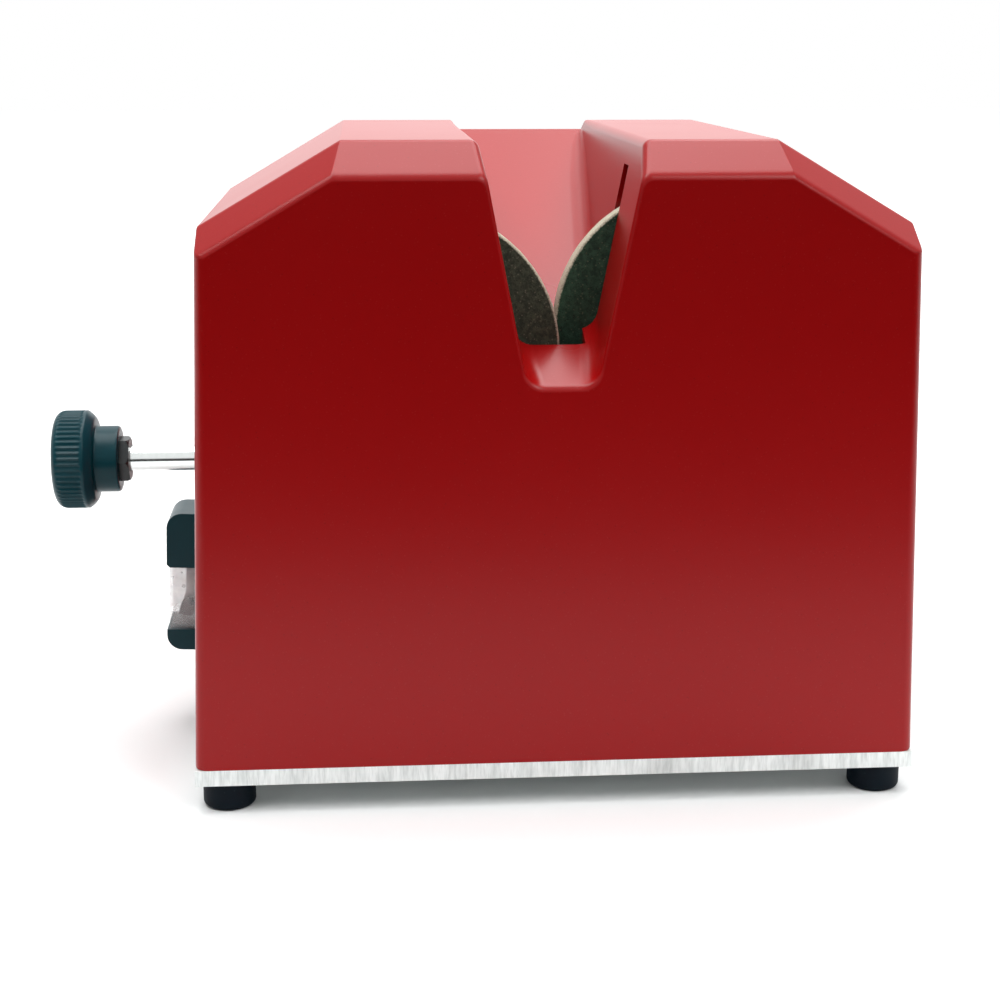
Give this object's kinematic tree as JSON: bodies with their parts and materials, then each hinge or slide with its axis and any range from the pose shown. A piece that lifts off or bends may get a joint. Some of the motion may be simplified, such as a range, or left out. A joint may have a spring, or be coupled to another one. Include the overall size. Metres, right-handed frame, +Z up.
{
  "type": "electric knife sharpener",
  "caption": "Electric knife sharpener: a sloping knife trough over two overlapping grinding discs, belt driven, with a knob that moves one disc.",
  "frame": {"origin": "on the table, under the middle of the base plate", "axes": "+X to the user's right, +Y away from the user, +Z up"},
  "size_m": [0.2647, 0.1685, 0.1995],
  "materials": {
    "red_cover": "moulded, slightly speckled",
    "clear_plastic": "clear moulded",
    "black_plastic": "moulded",
    "dark_plastic": "moulded",
    "black_rubber": "moulded",
    "plate_aluminium": "sawn edge",
    "cast_aluminium": "as cast, machined seats",
    "bright_steel": "polished",
    "zinc_steel": "zinc plated",
    "core_steel": "laminated",
    "bearing_steel": "ground",
    "black_steel": "blackened",
    "copper": "enamelled wire",
    "brass": "turned",
    "belt_rubber": "smooth",
    "left_abrasive": "bonded grit",
    "right_abrasive": "bonded grit",
    "white_plastic": "moulded",
    "wire_blue": "insulated wire"
  },
  "bodies": {
    "frame": {"base_plate": "plate_aluminium", "feet": "black_rubber", "foot_screws": "zinc_steel", "cover": "red_cover", "cover_screws": "zinc_steel", "bearing_bracket": "cast_aluminium", "base_screws": "zinc_steel", "screw_bracket": "cast_aluminium", "threaded_bush": "brass", "motor_core": "core_steel", "motor_windings": "copper", "motor_front_bell": "cast_aluminium", "motor_rear_bell": "cast_aluminium", "motor_bolts": "zinc_steel", "motor_cradle": "dark_plastic", "motor_strap": "zinc_steel", "motor_bearing_rings": "bearing_steel", "motor_bearing_balls": "bearing_steel", "right_bearing_rings": "bearing_steel", "right_bearing_balls": "bearing_steel", "arm_retaining_ring": "black_steel", "return_spring": "zinc_steel", "spring_post": "zinc_steel", "run_capacitor": "cast_aluminium", "capacitor_clip": "zinc_steel", "terminal_block": "white_plastic", "wiring": "wire_blue", "inlet_body": "black_plastic", "inlet_pins": "brass", "inlet_screws": "zinc_steel", "switch_body": "dark_plastic", "switch_guard": "black_plastic", "switch_boot": "clear_plastic", "switch_terminals": "brass", "right_belt": "belt_rubber"},
    "rotor": {"motor_shaft": "bearing_steel", "rotor_core": "core_steel", "rotor_fan": "cast_aluminium", "motor_pulley": "cast_aluminium", "motor_inner_rings": "bearing_steel"},
    "right_disc_group": {"right_spindle": "bearing_steel", "right_disc": "right_abrasive", "right_disc_nut": "zinc_steel", "right_pulley": "cast_aluminium", "right_inner_rings": "bearing_steel"},
    "arm": {"swing_arm": "cast_aluminium", "left_bearing_rings": "bearing_steel", "left_bearing_balls": "bearing_steel", "left_belt": "belt_rubber"},
    "left_disc_group": {"left_spindle": "bearing_steel", "left_disc": "left_abrasive", "left_disc_nut": "zinc_steel", "left_pulley": "cast_aluminium", "left_inner_rings": "bearing_steel"},
    "pad": {"thrust_pad": "white_plastic"},
    "screw": {"adjusting_rod": "bright_steel", "knob": "black_plastic", "jam_nut": "black_steel"},
    "rocker": {"switch_rocker": "dark_plastic"}
  },
  "joints": [
    {"name": "rotor_spin", "type": "hinge", "parent": "frame", "child": "rotor", "pos_m": [0, 0, 0.062], "axis": [0, 1, 0], "continuous": true},
    {"name": "right_spin", "type": "hinge", "parent": "frame", "child": "right_disc_group", "pos_m": [0.0425, 0, 0.1425], "axis": [0, 1, 0], "continuous": true},
    {"name": "arm_swing", "type": "hinge", "parent": "frame", "child": "arm", "pos_m": [0, 0, 0.062], "axis": [0, 1, 0], "range_deg": [-1.99, 2.99], "deforming": ["return_spring"]},
    {"name": "left_spin", "type": "hinge", "parent": "arm", "child": "left_disc_group", "pos_m": [-0.0405, 0, 0.137], "axis": [0, 1, 0], "continuous": true},
    {"name": "pad_slide", "type": "slide", "parent": "frame", "child": "pad", "axis": [1, 0, 0], "range_m": [-0.00125, 0.00187]},
    {"name": "knob_turn", "type": "hinge", "parent": "pad", "child": "screw", "pos_m": [-0.1, -0.026, 0.098], "axis": [1, 0, 0], "range_deg": [-361, 541]},
    {"name": "rocker_press", "type": "hinge", "parent": "frame", "child": "rocker", "pos_m": [-0.11387, -0.002, 0.04643], "axis": [0, 1, 0], "range_deg": [-20, 0]}
  ],
  "couplings": [
    {"joint": "right_spin", "follows": "rotor_spin", "ratio": -0.66667},
    {"joint": "left_spin", "follows": "rotor_spin", "ratio": 0.66667},
    {"joint": "knob_turn", "follows": "pad_slide", "rad_per_m": 5026.5},
    {"joint": "arm_swing", "follows": "pad_slide", "rad_per_m": 27.778}
  ]
}
